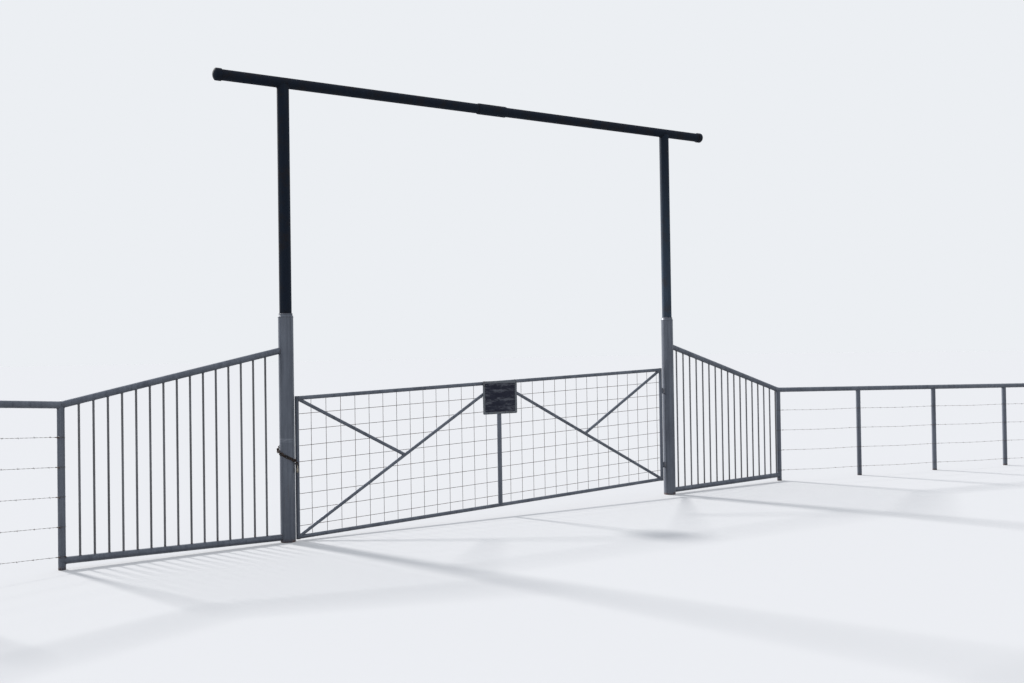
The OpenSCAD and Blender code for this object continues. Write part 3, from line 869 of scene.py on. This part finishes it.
def strand_path(line, posts):
    """Points along a strand: round the first post, along the bays, round the last post."""
    along = at_height(line.end - line.start, 0).normalized()
    wraps = []
    for post, point, forward in ((posts[0], line.start, -1), (posts[-1], line.end, 1)):
        centre = at_height(post.start, point.z)
        out = point - centre
        out -= along * out.dot(along)
        wraps.append([])
        for n in range(1, WRAP_STEPS + 1):
            turn = WRAP * n / WRAP_STEPS
            wraps[-1].append(centre + bent(out, along * (forward * out.length), turn)
                             - UP * (WRAP_DROP * n / WRAP_STEPS))
    steps = round(line.length / PATH_STEP)
    middle = [sagging(line, n / steps, len(posts) - 1) for n in range(steps + 1)]
    return wraps[0][::-1] + middle + wraps[1]


def wound(path, marks, radius, turn_length, start=0.0):
    """A line that winds round path at a radius, one turn in each turn_length."""
    tangent = unit(np.gradient(path, axis=0))
    side = unit(np.cross(tangent, UP))
    other = np.cross(side, tangent)
    turn = (start + 2 * math.pi * marks / turn_length)[:, None]
    return path + radius * (np.cos(turn) * side + np.sin(turn) * other)


def end_winding(start, along):
    """The tied-off end of a wire, wound tightly round its strand."""
    path, marks = spaced([start, start + along * WINDING], WINDING / (WINDING_TURNS * 9))
    return sweep(wound(path, marks, 3.1 * WIRE, WINDING / WINDING_TURNS), WIRE, (0.12, 0.2, 1.0), sides=5)


print(round(1 / TWIST, 1), "turns of twist in a metre of strand")

# %% [markdown]
# A barb is two short wires, each wrapped once and a half round the strand between its two cut
# points. Barbs sit a hand's width apart and all face their own way, so the turn of each one is
# drawn from a seeded source of chance. None sits where a post is in its way.

# %% Barbs
BARB_SPACING = 0.127
BARB_REACH = 0.011
BARB_WIRE = 0.0009
BARB_STEPS = 13
FIRST_BARB = 0.1
LAST_BARB = 0.09
CLEAR_OF_POST = 0.06


def barb(centre, along, first_turn):
    """The four points of one barb, as two wrapped wires."""
    side = along.cross(UP).normalized()
    other = side.cross(along)
    ring = 2 * WIRE + BARB_WIRE
    shapes = []
    for wire, sweep_way in ((-1, 1), (1, -1)):
        points = []
        for n in range(BARB_STEPS):
            turn = first_turn + wire * 0.8 + sweep_way * 3 * math.pi * n / (BARB_STEPS - 1)
            shift = along * BARB_WIRE * (wire * 3.2 + 2.2 * (n / (BARB_STEPS - 1) - 0.5))
            points.append(centre + shift + ring * bent(side, other, turn))
        lead = (points[0] - points[1]).normalized()
        leave = (points[-1] - points[-2]).normalized()
        points = [points[0] + lead * BARB_REACH] + points + [points[-1] + leave * BARB_REACH]
        thickness = [BARB_WIRE * 0.3] + [BARB_WIRE] * BARB_STEPS + [BARB_WIRE * 0.3]
        shapes.append(sweep(points, thickness, along + Vector((0.01, 0.02, 0.03)), sides=5))
    return shapes


def barbs_along(line, posts, chance):
    """The barbs of one strand, evenly spaced but for a little chance."""
    shapes = []
    place_at = FIRST_BARB + chance.uniform(0, 0.03)
    while place_at < line.length - LAST_BARB:
        near_post = min(abs((post.start - line.start).dot(line.run) - place_at) for post in posts)
        if near_post > CLEAR_OF_POST:
            centre = sagging(line, place_at / line.length, len(posts) - 1)
            shapes += barb(centre, line.run, chance.uniform(0, 6.28))
        place_at += BARB_SPACING + chance.uniform(-0.006, 0.006)
    return shapes


# %% [markdown]
# Between its two ends a strand is held by tie wires: each goes round the back of a post and
# winds three times round the strand on either side, as one winding and its mirror image.

# %% Ties
TIE_WIRE = 0.0011
TIE_TURNS = 3
TIE_POINTS = 8
TIE_LENGTH = 0.010


def tie(post, line, along):
    """A tie wire that holds the strand along line to an upright post."""
    share = (post.start - line.start).dot(along) / (line.end - line.start).dot(along)
    held = line.start.lerp(line.end, share)
    centre = at_height(post.start, held.z)
    out = at_height(held - centre, 0).normalized()
    round_post = post.radius + TIE_WIRE
    round_wire = 2 * WIRE + TIE_WIRE
    steps = TIE_TURNS * TIE_POINTS
    first, last = ([held + along * (way * (post.radius * 1.25 + TIE_LENGTH * (1 - n / steps)))
                    + round_wire * bent(out, UP, 2 * math.pi * n / TIE_POINTS)
                    for n in range(steps + 1)] for way in (-1, 1))
    back = [centre - round_post * bent(along, out, math.pi * n / 12) for n in range(13)]
    return sweep(first + back + last[::-1], TIE_WIRE, (0.15, 0.1, 1.0), sides=5)


print("a tie winds", 2 * TIE_TURNS, "times round its strand")

# %% [markdown]
# All strands of one side become one piece, in place of the frame's plain rods. Each starts at the
# corner post, so the latch side's lines are turned round first.

# %% Strands
END_GAP = 0.03
chance = random.Random(11)
for side in SIDES:
    posts = [pipe(f"{side}_corner_post")] + pipes(f"{side}_fence_posts")
    posts = sorted(posts, key=lambda p: p.start.x, reverse=side == "latch")
    shapes, barbs = [], 0
    for line in pipes(f"{side}_fence_wires"):
        if side == "latch":
            line = Pipe(line.end, line.start, line.radius)
        path, marks = spaced(strand_path(line, posts), TWIST / 10)
        first = chance.uniform(0, 2 * math.pi)
        for start in (first, first + math.pi):
            shapes.append(sweep(wound(path, marks, WIRE, TWIST, start), WIRE, (0.1, 0.2, 1.0), sides=5))
        shapes.append(end_winding(line.start + line.run * END_GAP, line.run))
        shapes.append(end_winding(line.end - line.run * (END_GAP + WINDING), line.run))
        shapes += [tie(post, line, line.run) for post in posts[1:-1]]
        barbed = barbs_along(line, posts, chance)
        shapes += barbed
        barbs += len(barbed) // 2
    strands = join(f"{side}_barbed_strands", shapes, rusty_wire, "gateway")
    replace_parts(strands, f"{side}_fence_wires")
    print(side, "side:", barbs, "barbs")

# %% [markdown]
# ## The gate's mesh
# The wires of the mesh come ready from the frame, in squares of six inches counted from the
# latch stile and down from the top rail. A blob of weld holds each end of a wire to its pipe.

# %% Mesh tacks
MESH_PITCH = 0.1524
TACK = 0.0046
TACK_OUT = 0.0008
SMALL_TACK = 0.0036
SMALL_TACK_OUT = 0.0005
TACK_PROFILE = ((-1.0, 0.15), (-0.6, 0.75), (0.0, 1.0), (0.6, 0.75), (1.0, 0.15))
mesh_start = gate["latch_stile"].start.x
rail_face = gate["top_rail"].radius


def tack(centre, size, seed):
    """A small uneven blob of weld between a wire and the pipe in front of it."""
    lump = random.Random(seed)
    path = [centre + Vector((lump.uniform(-0.0003, 0.0003), size * y, 0)) for y, _ in TACK_PROFILE]
    return sweep(path, [size * w * lump.uniform(0.85, 1.1) for _, w in TACK_PROFILE], UP, sides=8)


def height_on(rail, x):
    """Height of a rail's centre line at x."""
    return rail.start.lerp(rail.end, (x - rail.start.x) / (rail.end.x - rail.start.x)).z


tacks = []
for side in SIDES:
    low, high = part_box(f"gate_{side}_mesh")
    first = math.ceil((low.x - mesh_start) / MESH_PITCH)
    last = math.floor((high.x - mesh_start) / MESH_PITCH)
    for x in (mesh_start + n * MESH_PITCH for n in range(first, last + 1)):
        for rail in (gate["top_rail"], gate["foot_rail"]):
            tacks.append(tack(Vector((x, rail.radius + TACK_OUT, height_on(rail, x))), TACK, len(tacks)))
    rows = math.floor((height_on(gate["top_rail"], low.x) - height_on(gate["foot_rail"], low.x)) / MESH_PITCH)
    for n in range(1, rows + 1):
        for x in (low.x + 0.001, high.x - 0.001):
            z = height_on(gate["top_rail"], x) - n * MESH_PITCH
            tacks.append(tack(Vector((x, rail_face + SMALL_TACK_OUT, z)), SMALL_TACK, len(tacks)))
join("mesh_tacks", tacks, rusty_wire, "gate_leaf")

# %% [markdown]
# ## The sign
# A painted plate is riveted to a wider sheet of zinc. Thin sheet is never quite flat, so both
# share the same few shallow dents, and their corners are round, as snips and a file leave them.
# Each is a grid of points, closer near its edges, whose corner points are pulled on to an arc.
# The plate stays bare of words.

# %% Sign sheets
DENTS = 9
DENT = 0.0011
DENT_WIDTH = 0.05
SOFT_EDGE = 0.0005
sheet_low, sheet_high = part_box("sign_backing")


def dents(x, z):
    """How far the sheets lean out of their plane at x and z."""
    chance = random.Random(5)
    shift = 0
    for _ in range(DENTS):
        dent_x = chance.uniform(sheet_low.x, sheet_high.x)
        dent_z = chance.uniform(sheet_low.z, sheet_high.z)
        far = (x - dent_x) ** 2 + (z - dent_z) ** 2
        shift = shift + chance.uniform(-DENT, DENT) * np.exp(-far / (2 * DENT_WIDTH ** 2))
    return shift


def sheet_lines(half, corner):
    """Grid lines across a sheet, close together towards its edges."""
    near_edge = np.linspace(half - corner, half - SOFT_EDGE, 7)
    inner = np.linspace(corner - half, half - corner, 26)[1:-1]
    return np.r_[-half, -near_edge[::-1], inner, near_edge, half]


def bent_sheet(node, corner):
    """A dented sheet with round corners and soft edges, in place of a node."""
    low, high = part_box(node)
    centre, half = (low + high) / 2, (high - low) / 2
    x, z = np.meshgrid(sheet_lines(half.x, corner), sheet_lines(half.z, corner))
    past_x, past_z = (np.clip(abs(v) - (h - corner), 0, None) for v, h in ((x, half.x), (z, half.z)))
    pulled = 1 - np.maximum(past_x, past_z) / np.maximum(np.hypot(past_x, past_z), 1e-9)
    x = centre.x + np.sign(x) * (abs(x) - past_x * pulled)
    z = centre.z + np.sign(z) * (abs(z) - past_z * pulled)
    edge = np.pad(np.zeros((len(x) - 2, x.shape[1] - 2)), 1, constant_values=SOFT_EDGE)
    sides = [np.stack([x, y + dents(x, z) + inward * edge, z], axis=-1).reshape(-1, 3)
             for y, inward in ((low.y, 1), (high.y, -1))]
    at = np.arange(x.size).reshape(x.shape)
    front = np.stack([at[:-1, :-1], at[:-1, 1:], at[1:, 1:], at[1:, :-1]], axis=-1).reshape(-1, 4)
    rim = np.r_[at[0, :-1], at[:-1, -1], at[-1, :0:-1], at[:0:-1, 0]]
    after = np.roll(rim, -1)
    walls = np.stack([after, rim, rim + x.size, after + x.size], axis=-1)
    return np.concatenate(sides), np.r_[front, front[:, ::-1] + x.size, walls].tolist()


zinc = join("sign_zinc_sheet", [bent_sheet("sign_backing", 0.014)], sheet_metal, "gate_leaf")
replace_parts(zinc, "sign_backing")
plate = join("sign_painted_plate", [bent_sheet("sign_plate", 0.008)], sign_paint, "gate_leaf")
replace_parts(plate, "sign_plate")

# %% [markdown]
# Four rivets hold the plate. Their low heads sit on dented sheet, so the dents give their places.

# %% Sign rivets
RIVET = 0.0045
RIVET_RISE = 0.0018
RIVET_INSET = 0.018
plate_low, plate_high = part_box("sign_plate")
rivets = []
for x in (plate_low.x + RIVET_INSET, plate_high.x - RIVET_INSET):
    for z in (plate_low.z + RIVET_INSET, plate_high.z - RIVET_INSET):
        rivets.append(dome(Vector((x, plate_low.y + dents(x, z), z)), Vector((0, -1, 0)), RIVET, RIVET_RISE))
join("sign_rivets", rivets, sheet_metal, "gate_leaf")

# %% [markdown]
# Soft wire holds the sign to the gate: two ties go through holes in the zinc and round the top
# rail, and two more, low down, catch the mesh on either side of the middle stile. Each is drawn
# as a closed loop, with its two ends twisted together in front.

# %% Sign ties
SIGN_TIE = 0.0011
TAIL = 0.015
HOLE_DROP = 0.028
CATCH_RISE = 0.0125
CATCH_HALF = 0.005
CATCH_BEND = 0.0036
CATCH_DEPTH = 0.006
MESH_BEHIND = 0.0028
RAIL_TIE_STEP = 0.0015
MESH_TIE_STEP = 0.0012
FROM_MIDDLE = 0.204


def tail(start, way):
    """The two twisted ends of a tie."""
    way = Vector(way).normalized()
    path = [start + way * (TAIL * n / 30) for n in range(31)]
    shapes = []
    for half in (1, -1):
        wires = [half * out * SIGN_TIE for out in around(way, 10)]
        shapes.append(sweep([p + wires[n % 10] for n, p in enumerate(path)], SIGN_TIE, way.orthogonal()))
    return shapes


def tied(outline, step, up, knot, way):
    """A closed loop of wire with a twisted tail at its knot."""
    return [sweep(loop(outline, step), SIGN_TIE, up, sides=8, closed=True), *tail(Vector(knot), way)]


def rail_tie(x):
    """A wire through the zinc, under the top rail and back over the sheet's top edge."""
    centre_z = height_on(gate["top_rail"], x)
    hole_z = centre_z - HOLE_DROP
    bow = rail_face + SIGN_TIE
    front = sheet_low.y + dents(x, hole_z) - SIGN_TIE
    back = front + (sheet_high.y - sheet_low.y) + 2 * SIGN_TIE
    over = sheet_high.z + SIGN_TIE
    turns = []
    for (y, z), way in (((back, -HOLE_DROP), 1), ((back, over - centre_z), -1)):
        turns.append(math.atan2(z, y) + way * math.acos(bow / math.hypot(y, z)))
    turns[0] -= 2 * math.pi * (turns[0] > 0)
    arc = [(bow * math.cos(a), centre_z + bow * math.sin(a)) for a in np.linspace(*turns, 24)]
    outline = [(front, hole_z), (back, hole_z), *arc, (back, over), (front, over)]
    return tied([(x, y, z) for y, z in outline], RAIL_TIE_STEP, (1, 0, 0),
                (x, front - SIGN_TIE, hole_z), (0.25, -0.7, -0.6))


def mesh_tie(x):
    """A wire through the zinc near its lower edge, that catches the mesh behind."""
    z = sheet_low.z + CATCH_RISE
    front = sheet_low.y + dents(x, z) - SIGN_TIE
    bend = [(CATCH_BEND * math.cos(a), rail_face + MESH_BEHIND + CATCH_BEND * math.sin(a))
            for a in np.linspace(0, math.pi, 12)]
    behind = front + CATCH_DEPTH
    outline = [(-CATCH_HALF, front), (CATCH_HALF, front), (CATCH_HALF, behind), *bend, (-CATCH_HALF, behind)]
    return tied([(x + u, y, z) for u, y in outline], MESH_TIE_STEP, UP,
                (x, front - SIGN_TIE, z), (0.5, -0.6, -0.5))


middle = gate["middle_stile"].start.x
ties = [shape for x in (-FROM_MIDDLE, FROM_MIDDLE) for shape in rail_tie(middle + x)]
ties += [shape for x in (-MESH_PITCH, MESH_PITCH) for shape in mesh_tie(middle + x)]
join("sign_ties", ties, rusty_wire, "gate_leaf")

# %% [markdown]
# ## Padlock
# A padlock of this kind is a stack of steel plates held by four rivets, so the frame's plain
# block is replaced by a core with eight plates round it, and the key's round plug shows below. The
# frame's two round bars give the shackle its place and width, and the way that the lock faces.

# %% Padlock
SHACKLE = 0.0045
SHACKLE_SUNK = 0.002
SHACKLE_STEP = 0.001
LOCK_HALF = (0.022, 0.0095)
LOCK_CORNER = 0.006
CORE_INSET = 0.0012
CORE_SHORT = 0.001
PLATES = 8
PLATE_THICK = 0.0041
PLATE_SOFT = 0.0007
OUTER_PLATE_INSET = 0.0014
LOCK_RIVET = 0.0021
LOCK_RIVET_RISE = 0.0008
LOCK_RIVET_PLACE = (0.0172, 0.0055)
KEY_PLUG = 0.0058
KEY_PLUG_RISE = 0.0007

bars = rounds("padlock", SHACKLE)
lock = (bars[0].start + bars[1].start) / 2
wide = (bars[1].start - bars[0].start).xy.normalized().to_3d()
deep = UP.cross(wide)
bow = (bars[1].start - bars[0].start).length / 2
lock_low, lock_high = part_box("padlock")[0].z, lock.z


def slice_of_lock(z, inset):
    """The outline of the lock's body at a height, drawn in by inset."""
    outline = rounded(LOCK_HALF[0] - inset, LOCK_HALF[1] - inset, LOCK_CORNER - inset)
    return [at_height(lock, z) + wide * u + deep * v for u, v in outline]


def loft(rings):
    """A closed solid through rings of points, with flat ends."""
    return np.array([tuple(p) for one in rings for p in one]), skin(len(rings), len(rings[0]))


top = bars[0].end.z - lock.z
curve = [lock + UP * top + bow * bent(-wide, UP, turn) for turn in np.linspace(0, math.pi, 24)]
shackle = [lock - wide * bow - UP * SHACKLE_SUNK, *curve, lock + wide * bow - UP * SHACKLE_SUNK]
lock_shapes = [sweep(spaced(shackle, SHACKLE_STEP)[0], SHACKLE, deep, sides=16),
               loft([slice_of_lock(z, CORE_INSET) for z in (lock_low + CORE_SHORT, lock_high - CORE_SHORT)])]
for n in range(PLATES):
    foot = lock_low + (lock_high - lock_low - PLATE_THICK) * n / (PLATES - 1)
    drawn_in = OUTER_PLATE_INSET if n in (0, PLATES - 1) else 0.0
    levels = ((0, PLATE_SOFT), (PLATE_SOFT, 0), (PLATE_THICK - PLATE_SOFT, 0), (PLATE_THICK, PLATE_SOFT))
    lock_shapes.append(loft([slice_of_lock(foot + rise, drawn_in + soft) for rise, soft in levels]))
for z, way in ((lock_high, UP), (lock_low, -UP)):
    for u, v in ((-1, -1), (1, -1), (1, 1), (-1, 1)):
        spot = at_height(lock, z) + wide * (LOCK_RIVET_PLACE[0] * u) + deep * (LOCK_RIVET_PLACE[1] * v)
        lock_shapes.append(dome(spot, way, LOCK_RIVET, LOCK_RIVET_RISE))
lock_shapes.append(dome(at_height(lock, lock_low), -UP, KEY_PLUG, KEY_PLUG_RISE, sides=20))
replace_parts(join("stacked_padlock", lock_shapes, lock_metal, "gateway"), "padlock")

# %% [markdown]
# ## Chain
# A chain link is one bent bar, here as thick as the shackle, closed by a weld that swells one of
# its two straight sides. So every second straight bar that is measured gets a swollen sleeve.

# %% Chain welds
LINK_SWELLING = ((-1, 0.0046), (-0.5, 0.0052), (0.5, 0.0052), (1, 0.0046))
SWELLING_HALF = 0.0026
swellings = []
for bar in rounds("latch_chain", SHACKLE)[::2]:
    path = [bar.middle + bar.run * (SWELLING_HALF * share) for share, _ in LINK_SWELLING]
    swellings.append(sweep(path, [radius for _, radius in LINK_SWELLING], bar.run.orthogonal(), sides=12))
join("chain_welds", swellings, rusty_chain, "gateway")

# %% [markdown]
# ## Floor
# The floor is one sheet with two faces. To the camera it is as pale as the backdrop and takes
# soft shadows, while the light that it throws back on the pipes is as weak as that of a field.

# %% Floor
FLOOR_REACH = 300.0
FIELD_COLOUR = rgb(108, 108, 104)
FLOOR_COLOUR = rgb(188, 189, 192)
GLOW_COLOUR = rgb(227, 229, 233)
GLOW_SHARE = 0.3


def seen_rays(tree):
    """1 for what the camera sees, straight, in a gloss or through a gap."""
    ray = put(tree, "LightPath").outputs
    return most(tree, ray["Is Camera Ray"], ray["Is Glossy Ray"], ray["Is Transmission Ray"])


def either(tree, share, under, over):
    """One shader or the other."""
    return put(tree, "MixShader", {0: share, 1: under.outputs[0], 2: over.outputs[0]})


floor_mesh = bpy.data.meshes.new("floor")
floor_mesh.from_pydata([(x, y, 0) for x, y in ((-1, -1), (1, -1), (1, 1), (-1, 1))], [], [(0, 1, 2, 3)])
floor = add("floor", floor_mesh)
floor.scale = (FLOOR_REACH, FLOOR_REACH, 1)
floor_finish, floor_tree, _ = surface("floor")
floor_tree.nodes.clear()
field = put(floor_tree, "BsdfDiffuse", {"Color": FIELD_COLOUR})
shadowed = put(floor_tree, "BsdfDiffuse", {"Color": FLOOR_COLOUR})
glow = put(floor_tree, "Emission", {"Color": GLOW_COLOUR, "Strength": 1.0})
pale = either(floor_tree, GLOW_SHARE, shadowed, glow)
put(floor_tree, "OutputMaterial",
    {"Surface": either(floor_tree, seen_rays(floor_tree), field, pale).outputs[0]})
floor_mesh.materials.append(floor_finish)
print("floor", 2 * FLOOR_REACH, "m wide")

# %% [markdown]
# ## Light
# Soft daylight comes from all round, stronger from the sun's side, which makes a pipe look round.
# A broad low sun stands behind the gateway to its left, as in the photograph, so that every pipe
# has a bright left edge and a quiet face. The camera and a gloss see the backdrop instead.

# %% Light
SUN_FROM = Vector((-0.30, 0.95, 0.62))
SUN_STRENGTH = 6.0
SUN_BREADTH = math.radians(7)
SUN_COLOUR = (1.0, 0.97, 0.93)
SKY_SUNWARD = 1.3
SKY_AWAY = 0.25
SKY_COLOUR = rgb(226, 232, 240)
BACKDROP_COLOUR = rgb(236, 239, 243)

sun_light = bpy.data.lights.new("sun", "SUN")
sun_light.energy = SUN_STRENGTH
sun_light.angle = SUN_BREADTH
sun_light.color = SUN_COLOUR
sun = add("sun", sun_light)
sun.rotation_euler = SUN_FROM.to_track_quat("Z", "Y").to_euler()

world = bpy.data.worlds.new("sky")
bpy.context.scene.world = world
world.use_nodes = True
sky = world.node_tree
sky.nodes.clear()
outward = put(sky, "TexCoord").outputs["Generated"]
facing = put(sky, "VectorMath", {0: outward, 1: SUN_FROM.normalized()}, operation="DOT_PRODUCT")
strength = spread(sky, facing.outputs["Value"], SKY_AWAY, SKY_SUNWARD, start=-1.0)
daylight = put(sky, "Background", {"Color": SKY_COLOUR, "Strength": strength})
backdrop = put(sky, "Background", {"Color": BACKDROP_COLOUR, "Strength": 1.0})
put(sky, "OutputWorld", {"Surface": either(sky, seen_rays(sky), daylight, backdrop).outputs[0]})
print("sun at", round(math.degrees(math.asin(SUN_FROM.normalized().z))), "degrees above the floor")
